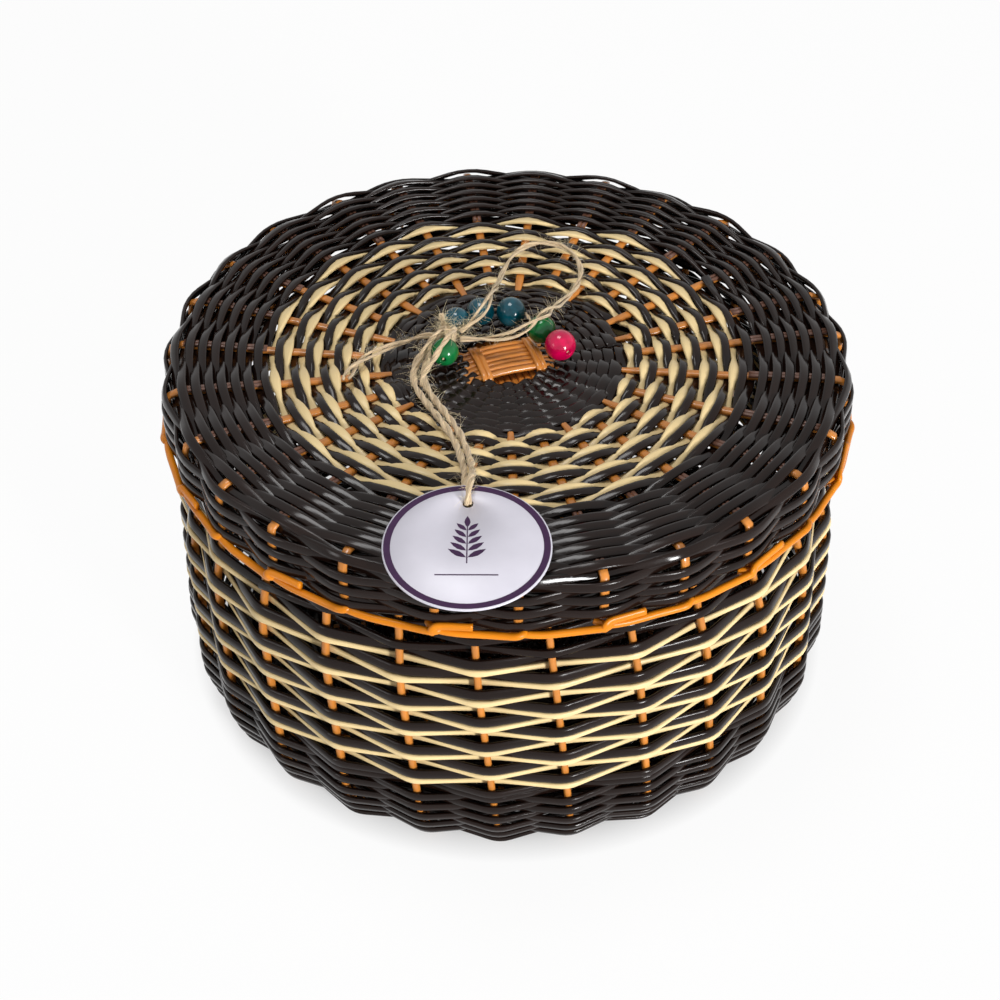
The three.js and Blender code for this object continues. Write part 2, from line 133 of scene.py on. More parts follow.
class BasketColours(bpy.types.PropertyGroup):
    """Colours of the strands, beads, twine and tag"""

    dark: colour_prop("Dark strand", "Colour of the dark brown strand", "#1A0F0B")
    cream: colour_prop("Cream strand", "Colour of the cream strand", "#EAD09A")
    orange: colour_prop("Orange stakes", "Colour of the stakes and crossed rods", "#C67D35")
    brown: colour_prop("Brown strands", "Colour of the thin strands over the lid's stakes", "#6B4A3C")
    border: colour_prop("Orange border", "Colour of the strand along the lid's edge", "#DA800C")
    teal: colour_prop("Teal bead", "Colour of the teal beads", "#004A59")
    green: colour_prop("Green bead", "Colour of the green beads", "#0C7238")
    pink: colour_prop("Pink bead", "Colour of the pink bead", "#C80048")
    jute: colour_prop("Jute", "Colour of the twine", "#E4C9A3")
    card: colour_prop("Card", "Colour of the tag", "#D6D3DE")
    ink: colour_prop("Ink", "Colour of the tag's print", "#391A41")


def sizes():
    return bpy.context.scene.basket_sizes


def colours():
    return bpy.context.scene.basket_colours


# Materials


def add_node(tree, kind, inputs=None, **settings):
    """Adds one node with its settings; an input is a value, or another node's output to link from."""
    node = tree.nodes.new(kind)
    for name, value in settings.items():
        setattr(node, name, value)
    for name, value in (inputs or {}).items():
        socket = node.inputs[name]
        if isinstance(value, bpy.types.NodeSocket):
            tree.links.new(value, socket)
        else:
            socket.default_value = value
    return node


def maths(tree, operation, *values):
    return add_node(tree, "ShaderNodeMath", dict(enumerate(values)), operation=operation).outputs["Value"]


def noise(tree, place, scale, detail):
    inputs = {"Vector": place, "Scale": scale, "Detail": detail}
    return add_node(tree, "ShaderNodeTexNoise", inputs).outputs["Fac"]


def object_place(tree):
    return add_node(tree, "ShaderNodeTexCoord").outputs["Object"]


def along_strand(tree, per_metre, round_it, seed):
    """Coordinates that run along a strand and round it; every strand starts at its own place."""
    place = add_node(tree, "ShaderNodeAttribute", attribute_type="GEOMETRY", attribute_name="along")
    between_strands = 37.0
    inputs = {
        0: place.outputs["Vector"],
        1: (per_metre, round_it, between_strands),
        2: (seed, seed, seed),
    }
    return add_node(tree, "ShaderNodeVectorMath", inputs, operation="MULTIPLY_ADD").outputs["Vector"]


def blank_material(name, colour, ior, roughness, **sockets):
    """A plain material; spaces in a socket's name are written as underscores."""
    material = bpy.data.materials.new(name)
    material.use_nodes = True
    material.diffuse_color = (*colour, 1.0)
    tree = material.node_tree
    shader = tree.nodes["Principled BSDF"]
    shader.inputs["Base Color"].default_value = (*colour, 1.0)
    shader.inputs["IOR"].default_value = ior
    shader.inputs["Roughness"].default_value = roughness
    for socket, value in sockets.items():
        shader.inputs[socket.replace("_", " ")].default_value = value
    return material, tree, shader


def scaled(colour, factor):
    return tuple(min(1.0, c * factor) for c in colour)


def tinted(tree, shader, share, colour, low, high):
    """Varies the shader's colour with a share; low and high each give a share and the brightness there."""
    ramp = add_node(tree, "ShaderNodeValToRGB", {"Fac": share})
    for element, (place, brightness) in zip(ramp.color_ramp.elements, (low, high)):
        element.position = place
        element.color = (*scaled(colour, brightness), 1.0)
    tree.links.new(ramp.outputs["Color"], shader.inputs["Base Color"])


def bumped(tree, shader, height, strength, distance):
    bump = add_node(tree, "ShaderNodeBump", {"Height": height, "Strength": strength, "Distance": distance})
    tree.links.new(bump.outputs["Normal"], shader.inputs["Normal"])


def extruded_strand(name, colour, roughness, contrast, gloss_level=0.3):
    """Extruded PVC strand: satin, with faint draw lines and slight changes of tone between lengths."""
    material, tree, shader = blank_material(name, colour, 1.46, roughness, Specular_IOR_Level=gloss_level)
    # The die leaves lines about 0.2 mm apart, drawn along the strand; tones change over some 60 mm.
    lines = noise(tree, along_strand(tree, 25.0, 9.0, 0.3), 3.0, 3.0)
    tones = noise(tree, along_strand(tree, 16.0, 0.6, 5.1), 1.0, 2.0)
    mixed = maths(tree, "MULTIPLY_ADD", lines, 0.45, tones)
    tinted(tree, shader, mixed, colour, (0.45, 1.0 - contrast), (0.98, 1.0 + contrast))
    inputs = {"Value": tones, "From Min": 0.3, "From Max": 0.7}
    inputs.update({"To Min": roughness - 0.06, "To Max": roughness + 0.08})
    gloss = add_node(tree, "ShaderNodeMapRange", inputs)
    tree.links.new(gloss.outputs["Result"], shader.inputs["Roughness"])
    bumped(tree, shader, lines, 0.18, 0.00015)
    return material


def painted_bead(name, colour):
    """Turned wood under gloss paint: a hard gloss, and a tone that deepens in patches where paint ran."""
    material, tree, shader = blank_material(
        name, colour, 1.5, 0.14, Specular_IOR_Level=0.3, Coat_Weight=0.15, Coat_Roughness=0.06
    )
    place = object_place(tree)
    tinted(tree, shader, noise(tree, place, 260.0, 2.0), colour, (0.35, 0.72), (0.7, 1.12))
    # Turning leaves marks under a millimetre wide that gloss paint only half fills.
    bumped(tree, shader, noise(tree, place, 1400.0, 1.0), 0.06, 0.0002)
    return material


def spun_jute(name, colour):
    """Spun jute: matt, with pale and dark fibres that lie along the ply in streaks."""
    material, tree, shader = blank_material(name, colour, 1.5, 0.85, Sheen_Weight=0.35, Sheen_Roughness=0.5)
    # Real fibres are some 0.05 mm thick; they are drawn about 0.2 mm wide so that they show.
    fibres = noise(tree, along_strand(tree, 190.0, 14.0, 2.2), 1.0, 4.0)
    tinted(tree, shader, fibres, colour, (0.36, 0.5), (0.66, 1.3))
    bumped(tree, shader, fibres, 0.7, 0.0004)
    return material


def jute_fibre(name, colour):
    """Single jute fibres: shinier than the yarn, and with painted light, as their colour is set paler
    because they stand free of each other's shade.
    """
    # Painted light: the fibres' colour is scaled by 1.35 and its tones run from 0.8 to 1.5 times the jute's,
    # where the yarn's run from 0.5 to 1.3, for the light on fibres that stand free.
    material, tree, shader = blank_material(name, scaled(colour, 1.35), 1.5, 0.5)
    tones = noise(tree, along_strand(tree, 60.0, 1.0, 4.4), 1.0, 1.0)
    tinted(tree, shader, tones, colour, (0.35, 0.8), (0.65, 1.5))
    return material


def coated_card(name, colour):
    """Coated card: smooth and nearly white, with a soft shine and a faint mottle of its fibres."""
    material, tree, shader = blank_material(name, colour, 1.5, 0.38)
    mottle = noise(tree, object_place(tree), 90.0, 5.0)
    tinted(tree, shader, mottle, colour, (0.3, 0.93), (0.75, 1.0))
    bumped(tree, shader, mottle, 0.05, 0.0001)
    return material


def printed_ink(name, colour):
    """Offset ink on coated card: its film is a little glossier than the card and not quite even."""
    material, tree, shader = blank_material(name, colour, 1.5, 0.34, Specular_IOR_Level=0.2)
    film = noise(tree, object_place(tree), 320.0, 4.0)
    tinted(tree, shader, film, colour, (0.3, 0.85), (0.7, 1.12))
    return material


DARK = "extruded PVC strand, dark brown"
BROWN = "extruded PVC strand, dull brown"
CREAM = "extruded PVC strand, cream"
ORANGE = "extruded PVC strand, orange"
BRIGHT = "extruded PVC strand, bright orange"
BEAD = "painted wood bead, "
JUTE = "spun jute"
FIBRE = "loose jute fibre"
CARD = "coated card"
INK = "offset ink"

# Each finish: its slot in the record, its function and its colour, and for a strand also its roughness,
# its contrast and its level of gloss. The record has no slot of its own for the thin brown strands.
FINISHES = {
    DARK: ("dark_strand", extruded_strand, "dark", 0.14, 0.3, 0.23),
    BROWN: ("dark_strand", extruded_strand, "brown", 0.3, 0.2),
    CREAM: ("cream_strand", extruded_strand, "cream", 0.34, 0.1),
    ORANGE: ("orange_strand", extruded_strand, "orange", 0.22, 0.18, 0.45),
    BRIGHT: ("orange_strand", extruded_strand, "border", 0.3, 0.14),
    BEAD + "teal": ("bead_teal", painted_bead, "teal"),
    BEAD + "green": ("bead_green", painted_bead, "green"),
    BEAD + "pink": ("bead_pink", painted_bead, "pink"),
    JUTE: ("jute", spun_jute, "jute"),
    FIBRE: ("jute", jute_fibre, "jute"),
    CARD: ("tag_card", coated_card, "card"),
    INK: ("tag_card", printed_ink, "ink"),
}


def material_of(name):
    _, maker, colour, *finish = FINISHES[name]
    return bpy.data.materials.get(name) or maker(name, getattr(colours(), colour), *finish)


# Shapes


def mix(a, b, share):
    return a + (b - a) * share


def polar(radius, angle, height):
    return Vector((radius * math.cos(angle), radius * math.sin(angle), height))


def turns(steps):
    """The angles of so many even steps round a circle."""
    return [2 * math.pi * i / steps for i in range(steps)]


def circle(radius, height, centre=Vector(), steps=ROUND_STEPS):
    return [centre + polar(radius, turn, height) for turn in turns(steps)]


def add_object(name, data):
    item = bpy.data.objects.new(name, data)
    bpy.context.scene.collection.objects.link(item)
    return item


def smooth_through(points, per_span):
    """Points of a smooth curve through the given ones."""
    spots = [Vector(p) for p in points]
    last = len(spots) - 1
    result = []
    for i in range(last):
        a, b, c, d = (spots[min(max(i + k, 0), last)] for k in (-1, 0, 1, 2))
        for j in range(per_span):
            t = j / per_span
            spot = 2 * b + (c - a) * t
            spot += (2 * a - 5 * b + 4 * c - d) * t * t
            spot += (3 * b - a - 3 * c + d) * t**3
            result.append(0.5 * spot)
    return result + [spots[-1]]


class Surface:
    """Collects tubes, turned shapes and prints into one mesh, with each point's place along its strand."""

    def __init__(self):
        self.points, self.faces, self.along = [], [], []

    def grid(self, rings, places, closed=False):
        """Joins rings of points in turn, and then the last to the first, or else caps both ends."""
        first, sides, count = len(self.points), len(rings[0]), len(rings)
        for ring, place in zip(rings, places):
            self.points += ring
            self.along += place
        for i in range(count if closed else count - 1):
            a, b = first + i * sides, first + (i + 1) % count * sides
            for j in range(sides):
                k = (j + 1) % sides
                self.faces.append((a + j, a + k, b + k, b + j))
        if not closed:
            self.faces.append(tuple(first + j for j in reversed(range(sides))))
            self.faces.append(tuple(first + (count - 1) * sides + j for j in range(sides)))

    def tube(self, samples, sides=8, seed=0.0, squared=1.0):
        """A tube through (point, normal, half width, half thickness) samples, flatter as squared falls."""
        rings, places, run = [], [], 0.0
        last = len(samples) - 1
        for i, (point, normal, wide, thick) in enumerate(samples):
            ahead, behind = samples[min(i + 1, last)][0], samples[max(i - 1, 0)][0]
            run += (point - behind).length
            across = (ahead - behind).cross(normal).normalized()
            up = across.cross(ahead - behind).normalized()
            ring, place = [], []
            for j, turn in enumerate(turns(sides)):
                x, y = math.cos(turn), math.sin(turn)
                x, y = math.copysign(abs(x) ** squared, x), math.copysign(abs(y) ** squared, y)
                ring.append(point + across * (wide * x) + up * (thick * y))
                place.append((run, abs(j / sides * 2 - 1), seed))
            rings.append(ring)
            places.append(place)
        self.grid(rings, places)

    def turned(self, profile, matrix, steps):
        """A closed profile of (radius, height) points, turned about the matrix's Z axis."""
        rings, places = [], []
        for i, turn in enumerate(turns(steps)):
            rings.append([matrix @ polar(r, turn, h) for r, h in profile])
            places.append([(h, i / steps, 0.0) for r, h in profile])
        self.grid(rings, places, closed=True)

    def printed(self, outline, place, height):
        """A flat face with its outline in millimetres, lying at a height over the place."""
        first = len(self.points)
        self.points += [place @ Vector((x * MM, y * MM, height)) for x, y in outline]
        self.along += [(x * MM, y * MM, 0.0) for x, y in outline]
        self.faces.append(tuple(range(first, first + len(outline))))

    def piece(self, name, material, body, replaced=()):
        mesh = bpy.data.meshes.new(name)
        mesh.from_pydata([tuple(p) for p in self.points], [], self.faces)
        mesh.polygons.foreach_set("use_smooth", [True] * len(self.faces))
        along = mesh.attributes.new("along", "FLOAT_VECTOR", "POINT")
        along.data.foreach_set("vector", [value for place in self.along for value in place])
        mesh.validate()
        mesh.update()
        piece = add_object(name, mesh)
        mesh.materials.append(material_of(material))
        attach(piece, body)
        if replaced:
            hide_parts(*replaced)
        return piece


class Wall:
    """The middle line of a woven wall in section, and the stakes that run along it."""

    def __init__(self, corners, outside, first_stake, lean, seed):
        self.outside, self.first_stake, self.lean = outside, first_stake, lean
        draw = random.Random(seed)
        self.stray = [math.radians(draw.uniform(-0.9, 0.9)) * sizes().unevenness for _ in range(STAKES)]
        self.line = self.rounded(corners)
        self.run = [self.line[0].x]
        for a, b in zip(self.line, self.line[1:]):
            self.run.append(self.run[-1] + (b - a).length)

    @staticmethod
    def rounded(corners):
        """The corners (radius, height, bend) with each bend rounded, in steps of about 1.5 mm."""
        spots = [Vector((radius, height)) for radius, height, _ in corners]
        line = [spots[0]]
        for before, spot, after, (_, _, bend) in zip(spots, spots[1:], spots[2:], corners[1:]):
            back, onward = (before - spot).normalized(), (after - spot).normalized()
            room = 0.49 * min((before - spot).length, (after - spot).length)
            reach = min(bend / math.tan(back.angle(onward) / 2), room)
            a, b = spot + back * reach, spot + onward * reach
            line += [a.lerp(spot, t).lerp(spot.lerp(b, t), t) for t in (0, 0.2, 0.4, 0.6, 0.8, 1)]
        line.append(spots[-1])
        fine = [line[0]]
        for a, b in zip(line, line[1:]):
            parts = max(1, round((b - a).length / (1.5 * MM)))
            fine += [a.lerp(b, (k + 1) / parts) for k in range(parts) if (b - a).length > 1e-7]
        return fine

    def section(self, s):
        """Radius, height and outward normal at the distance s along the line."""
        low = min(max(bisect_right(self.run, s) - 1, 0), len(self.run) - 2)
        share = (s - self.run[low]) / (self.run[low + 1] - self.run[low])
        point = self.line[low].lerp(self.line[low + 1], share)
        first, last = self.line[max(low - 1, 0)], self.line[min(low + 2, len(self.line) - 1)]
        way = (last - first).normalized()
        return point.x, point.y, Vector((-way.y, way.x)) * self.outside

    def angle(self, stake, height):
        return self.first_stake + self.lean * height + stake * STEP + self.stray[stake % STAKES]

    def at(self, s, stake, off=0.0):
        """A point on a stake's line, moved outwards by off, and the wall's normal there."""
        radius, height, way = self.section(s)
        angle = self.angle(stake, height)
        normal = Vector((way.x * math.cos(angle), way.x * math.sin(angle), way.y))
        return polar(radius, angle, height) + normal * off, normal

    def onward(self, s, stake):
        """The direction along a stake's line, towards the larger distances."""
        ahead, behind = self.at(s + 0.5 * MM, stake)[0], self.at(s - 0.5 * MM, stake)[0]
        return (ahead - behind).normalized()

    def s_where(self, test):
        """The first distance at which the line's radius and height pass a test."""
        return next(run for run, point in zip(self.run, self.line) if test(point.x, point.y))


def lid_wall():
    corners = []
    for radius in (12, 34, 56, 78, 100, 122):
        radius *= MM
        corners.append((radius, LID_MIDDLE - LID_DISH * (1 - (radius / LID_FLAT) ** 2), 30 * MM))
    corners += [(SKIRT_R, LID_MIDDLE, 5 * MM), (SKIRT_R, BORDER_Z, 0)]
    return Wall(corners, 1, math.radians(18.25), 0.0, "lid stakes")


def basket_wall():
    corners = [(CROSSING_R, BASE_Z, 0), (138.6 * MM, BASE_Z, 6 * MM), (144.9 * MM, 22 * MM, 30 * MM)]
    corners += [(144 * MM, 94 * MM, 50 * MM), (RIM_R, 130.3 * MM, 20 * MM), (RIM_R, 150 * MM, 0)]
    return Wall(corners, -1, math.radians(15.5), math.radians(-37.1), "basket stakes")


def spaced(first, last, pitch):
    """Row places from first to last, with a pitch as near as it fits to the one asked for."""
    count = max(1, round((last - first) / pitch))
    return [first + (last - first) * i / count for i in range(count + 1)]


# Where a strand passes a stake: its point, the wall's normal and the way along the stake there, how far
# its rounded bend reaches, its half width, and how far it moves aside from there to between two stakes.
Crossing = namedtuple("Crossing", "point normal onward round_off half aside")


class Strand:
    """How one strand lies in a weave: half widths, sideways places and tilts at a stake and between two.

    The tilts, in degrees, hold where the wall lies flat and fade where it stands up.
    """

    def __init__(self, peak, middle, thick, reach, shift=(0.0, 0.0), bend=4.6 * MM, tilt=(0.0, 0.0)):
        self.peak, self.middle, self.thick = peak, middle, thick
        self.reach, self.shift, self.bend = reach, shift, bend
        self.tilt = [math.tan(math.radians(angle)) for angle in tilt]

    def crossing(self, wall, place, stake, front, draw):
        """Where this strand passes a stake; it strays a little from its row and from the wall."""
        uneven = MM * sizes().unevenness
        along, off = 0.28, 0.12
        place += draw.uniform(-along, along) * uneven
        gap = STEP * wall.section(place)[0]
        round_off = min(0.46 * gap, self.bend)
        # Rounding off pulls a strand towards the wall's middle, so it is lifted by as much.
        lift = self.reach + 0.45 * round_off * math.sin(math.atan2(2 * self.reach, gap))
        lift += draw.uniform(-off, off) * uneven
        point, normal = wall.at(place + self.shift[0], stake, front * lift)
        onward = wall.onward(place, stake)
        half = self.peak * draw.uniform(0.95, 1.04)
        return Crossing(point, normal, onward, round_off, half, onward * (self.shift[1] - self.shift[0]))

    def bend_over(self, before, here, after):
        """Samples of the rounded bend at a stake; the strand narrows or widens towards its ends."""
        back, ahead = (
            (other.point + other.aside / 2 + here.aside / 2 - here.point).normalized() * here.round_off
            for other in (before, after)
        )
        samples = []
        for t in (0.0, 0.25, 0.5, 0.75, 1.0):
            spot = (here.point + back).lerp(here.point, t).lerp(here.point.lerp(here.point + ahead, t), t)
            far = abs(2 * t - 1) ** 1.6
            tilt = mix(self.tilt[0], self.tilt[1], 0.6 * far) * abs(here.normal.z)
            wide = mix(here.half, self.middle, 0.75 * far)
            samples.append((spot, (here.normal + here.onward * tilt).normalized(), wide, self.thick))
        return samples

    def between(self, here, after):
        """The sample half way between two stakes."""
        spot = (here.point + after.point + here.aside + after.aside) / 2
        tilt = self.tilt[1] * abs(here.normal.z)
        facing = (here.normal + after.normal).normalized() + (here.onward + after.onward).normalized() * tilt
        return spot, facing.normalized(), self.middle, self.thick


def weave(surface, wall, rows, side, strand, seed, start=0, way=1, first=0, short=0):
    """Weaves one strand round and round the stakes, in front of one and behind the next.

    rows are the strand's places along the wall's line at each full turn, side is 1 where it begins in
    front of the stake called start, and way is 1 or -1, the direction in which it goes round. The strand
    leaves out the first stakes of its first turn, and ends short of its last turn by so many stakes.
    """
    draw = random.Random(seed)
    crossings = []
    for j in range(first, (len(rows) - 1) * STAKES + 1 - short):
        turn, part = divmod(j, STAKES)
        part /= STAKES
        place = rows[turn] if part == 0 else rows[turn] * (1 - part) + rows[turn + 1] * part
        front = side if j % 2 == 0 else -side
        crossings.append(strand.crossing(wall, place, start + way * j, front, draw))
    samples = []
    last = len(crossings) - 1
    for i, here in enumerate(crossings):
        if 0 < i < last:
            samples += strand.bend_over(crossings[i - 1], here, crossings[i + 1])
        else:
            samples.append((here.point, here.normal, here.half, strand.thick))
        if i < last:
            samples.append(strand.between(here, crossings[i + 1]))
    surface.tube(samples, sides=10, seed=draw.random() * 3, squared=0.62)
    return surface


def weave_pairs(wall, rows, cream, dark, prefix, seed, body, **way):
    """Weaves a cream and a dark strand side by side through the same rows."""
    surface = weave(Surface(), wall, rows, 1, cream, seed + " cream", **way)
    surface.piece(prefix + "_cream_strand", CREAM, body, [prefix + "_weave"])
    surface = weave(Surface(), wall, rows, 1, dark, seed + " dark", **way)
    surface.piece(prefix + "_dark_strand", DARK, body)


def crossed_rods(wall, sink, wide, pitch, end, prefix, body, deep):
    """The stakes: each is one rod that crosses the centre in one of two layers and runs out to both sides.

    wide is the half width at the centre and further out, deep the half thickness further out, and pitch
    the rods' spacing where they cross. Under the close rows round the crossing a rod is pressed thinner.
    """
    surface = Surface()
    fan = 17 * MM  # where the rods start to fan out
    sectors = (-3, 4, 11, 17)  # the first stake on each of the four sides
    pressed, growth = 46 * MM, 14 * MM  # how far out a rod stays pressed, and how soon it is full after that
    thick = sizes().stake_thickness / 2
    flat = 0.72 * thick  # a rod is flatter where it crosses the others
    narrow, thin = 0.7 * wide[0], 0.45 * flat
    height = wall.section(CROSSING_R)[1] - sink
    draw = random.Random(prefix)

    def half_rod(sector, place, up):
        start = Vector((fan, (place - 3) * pitch, height + up))
        start.rotate(Matrix.Rotation(wall.first_stake + sector * math.pi / 2, 3, "Z"))
        samples = [(start, UP, wide[0], flat)]
        s = 30 * MM
        while s < end:
            point, normal = wall.at(s, sectors[sector] + place)
            share = max(0.0, min(1.0, (s - pressed) / growth))
            out, half = normal * wall.outside, mix(narrow, wide[1], share)
            samples.append((point, out, half, mix(thin, deep, share)))
            s += 4 * MM
        return samples

    for level, up, arched in ((0, LAYER, 1.6), (1, -LAYER, 0)):
        for i in range(7):
            near, far = half_rod(level, i, up), half_rod(level + 2, 6 - i, up)
            arch = Vector((0, 0, arched + draw.uniform(-0.2, 0.3))) * MM
            a, b = near[0][0], far[0][0]
            spots = [a.lerp(b, t) + arch * (4 * t * (1 - t)) for t in (0.15, 0.3, 0.5, 0.7, 0.85)]
            middle = [(spot, UP, wide[0], flat) for spot in spots]
            if level == 0 and i == 0:
                far = far[:1]  # this rod stops at the crossing, which leaves an odd count of stakes
            rod = list(reversed(near)) + middle + far
            surface.tube(rod, sides=10, seed=draw.random() * 3, squared=0.75)
    nodes = [f"{prefix}_{i:02d}" for i in range(1, 15)]
    return surface.piece(prefix + "s", ORANGE, body, nodes)


def border_arcs(wall, radius, height, half, hooks):
    """The strand ends that close the edge: each runs along it to the next stake and tucks in there.

    With hooks, at every other stake an end is turned back over the strand and cut off square.
    """
    surface = Surface()
    draw = random.Random("border")
    for k in range(STAKES):
        a, b = wall.angle(k, height), wall.angle(k + 1, height)

        def strand(route, wide, thick, **shape):
            points = [polar(radius + out * MM, mix(a, b, t), height + up * MM) for t, out, up in route]
            smooth = smooth_through(points, 4)
            samples = [(p, Vector((p.x, p.y, 0)).normalized(), wide, thick) for p in smooth]
            surface.tube(samples, sides=12, **shape)

        seed = draw.random() * 3
        sag = draw.uniform(-0.5, 0.2)
        # Each point of a route: its share of the way to the next stake, outwards and upwards in millimetres.
        route = [(-0.09, -3.4, 0.6), (-0.03, -1.2, 0.5), (0.07, 0.1, 0.3), (0.3, 0.3, sag), (0.6, 0.2, sag)]
        route += [(0.85, 0.8, 0.0), (0.98, 1.5, 0.5), (1.06, 0.4, 0.8), (1.1, -3.0, 0.8)]
        strand(route, half, half, seed=seed)
        if hooks and k % 2 == 0:
            stub = 0.5 + draw.uniform(-0.06, 0.06)
            route = [(-0.03, -2.4, -0.4), (-0.025, 0.8, -0.7), (-0.015, 1.7, 0.2), (0.0, 1.9, 2.0)]
            route += [(0.04, 1.3, 3.1), (0.12, 0.9, 3.4), (0.3, 0.5, 3.5), (stub, 0.4, 3.6)]
            strand(route, half * 1.1, half * 0.75, seed=seed + 1, squared=0.85)
    return surface


# Twine


def lid_points(rows):
    """Points given in millimetres from the middle of the lid's edge plane."""
    return [Vector((x * MM, y * MM, LID_TOP + z * MM)) for x, y, z in rows]


LOOP = [
    (-20.2, 4.6, 2.2), (-18.2, 5.4, 3.2), (-15.6, 7.0, 5.0), (-12.2, 9.6, 7.2), (-9.4, 13.4, 9.0),
    (-7.6, 18.6, 9.6), (-6.3, 26.5, 7.2), (-5.2, 35.0, 3.4), (-3.8, 45.0, 0.0), (-1.8, 56.5, -2.3),
    (2.2, 68.0, -2.1), (8.6, 76.0, -1.8), (16.2, 78.6, -1.7), (24.0, 76.4, -1.7), (30.4, 69.6, -2.0),
    (33.0, 60.0, -2.4), (32.2, 49.6, -2.4), (28.6, 38.4, -1.2), (24.2, 27.6, 1.8), (20.4, 16.4, 6.2),
    (16.4, 7.4, 9.7), (10.4, 1.2, 8.6), (3.2, -1.6, 5.6), (-5.0, -0.6, 2.6), (-13.0, 1.0, 0.9),
    (-20.2, 1.2, 0.6),
]
TAIL = [
    (-30.9, 2.6, 1.4), (-33.4, 3.4, 1.0), (-36.6, 4.0, 0.0), (-40.0, 3.9, -1.2), (-43.6, 3.1, -2.2),
    (-47.2, 1.9, -2.7), (-50.6, 0.2, -2.8), (-53.8, -1.9, -2.8), (-56.8, -4.2, -2.7), (-59.6, -6.8, -2.7),
    (-62.0, -9.8, -2.6), (-64.0, -13.0, -2.5), (-65.6, -16.4, -2.4), (-66.9, -19.9, -2.3),
    (-67.9, -23.4, -2.2),
]
TAG_CORD_OVER = [
    (-29.9, -3.2, -1.2), (-32.6, -6.6, -2.2), (-34.4, -11.4, -2.9), (-35.2, -18.0, -3.2),
    (-34.4, -25.4, -3.1), (-31.2, -34.0, -2.9), (-27.2, -42.2, -2.7), (-22.9, -51.0, -2.5),
    (-19.0, -60.4, -2.2), (-16.2, -70.4, -1.8), (-14.2, -80.6, -1.0), (-13.6, -88.6, 1.6),
    (-13.7, -95.2, 5.6), (-14.1, -101.4, 8.6), (-14.6, -106.6, 8.8), (-14.9, -109.9, 6.7),
    (-15.0, -111.2, 4.2),
]
TAG_CORD_UNDER = [
    (-31.9, 0.0, -2.2), (-35.8, -3.4, -3.1), (-38.4, -8.8, -3.3), (-39.6, -16.8, -3.2),
    (-38.7, -26.2, -3.1), (-35.0, -35.6, -2.9), (-30.7, -44.0, -2.7), (-26.2, -52.8, -2.5),
    (-22.4, -61.8, -2.2), (-19.4, -71.4, -1.8), (-17.4, -81.2, -1.4), (-16.7, -88.0, -1.1),
    (-16.4, -94.4, -0.7), (-16.1, -100.6, -0.2), (-16.0, -106.4, 0.2),
]
INNER_TURN = [
    (-22.8, 2.0, 5.0), (-22.6, -3.2, 8.8), (-24.6, -9.0, 9.9), (-28.2, -14.6, 7.4), (-32.4, -18.2, 1.4),
    (-35.6, -22.0, -2.0), (-35.2, -27.0, -3.0),
]
OUTER_TURN = [
    (-26.8, 3.4, 4.6), (-27.6, -1.8, 8.2), (-29.6, -6.6, 9.3), (-34.0, -9.8, 5.4), (-37.2, -12.6, -0.8),
    (-39.2, -17.4, -2.8), (-38.6, -24.0, -3.2),
]
STRING = [
    (-28.6, -19.6, -4.2), (-27.2, -15.9, 1.7), (-25.8, -2.6, 1.7), (-25.6, 7.2, 1.7), (-18.4, 18.7, 1.7),
    (-4.9, 21.6, 1.7), (8.3, 18.3, 1.7), (10.8, 12.2, 1.7), (18.9, 1.9, 1.7), (26.6, -10.5, 1.7),
    (28.8, -14.2, -4.2),
]


def frames_along(points):
    """The way and a sideways direction at each point, which turns no more than the line does."""
    side, result = UP, []
    for i in range(len(points)):
        way = (points[min(i + 1, len(points) - 1)] - points[max(i - 1, 0)]).normalized()
        side = side - way * side.dot(way)
        side = side.normalized() if side.length > 0.01 else way.orthogonal().normalized()
        result.append((way, side))
    return result


def laid_close(share):
    return 0.0


def twisted(surface, points, diameter, lay, seed, open_up=laid_close, full=0.27):
    """Two plies laid round each other along the points.

    open_up says how much further apart they stand at each share of the length, and full is the half
    width of a ply, both as shares of the diameter.
    """
    draw = random.Random(seed)
    frames = frames_along(points)
    for ply in (0, 1):
        samples, run = [], 0.0
        for i, (point, (way, side)) in enumerate(zip(points, frames)):
            run += (point - points[max(i - 1, 0)]).length
            turn = ply * math.pi + 2 * math.pi * run / lay + 0.5 * math.sin(run / (7 * MM))
            apart = diameter * (0.23 + open_up(i / (len(points) - 1)))
            out = side * math.cos(turn) + way.cross(side) * math.sin(turn)
            half = diameter * full * (1 + 0.12 * math.sin(run / (3.1 * MM) + ply))
            samples.append((point + out * apart, out, half * 1.1, half))
        surface.tube(samples, sides=8, seed=draw.random() * 5)


def loose_fibres(surface, points, count, seed, reach=(3, 9), start=0.6, thick=0.055):
    """Thin fibres that stand off the twine in curls; reach, start and thick are in millimetres."""
    draw = random.Random(seed)
    sag, facing = Vector((0, 0, -0.06)), Vector((0.1, 0.2, 1)).normalized()
    for _ in range(count):
        i = draw.randrange(len(points) - 1)
        base = points[i].lerp(points[i + 1], draw.random())
        way = (points[i + 1] - points[i]).normalized()
        out = Vector([draw.gauss(0, 1) for _ in range(3)])
        out = (out - way * out.dot(way)).normalized()
        if out.z < -0.15:
            out.z = -out.z
        heading = out * draw.uniform(0.4, 1.0)
        heading += way * draw.choice((-1, 1)) * draw.uniform(0.5, 1.2)
        heading.normalize()
        curl = Vector([draw.gauss(0, 1) for _ in range(3)]) * 0.42
        length = draw.uniform(*reach) * MM
        spot, samples = base + out * start * MM, []
        for k in range(8):
            half = thick * MM * (1 - k / 12)
            samples.append((spot, facing, half, half))
            heading = (heading + curl * 0.5 + sag).normalized()
            spot = spot + heading * (length / 7)
        surface.tube(samples, sides=3, seed=draw.random() * 9)


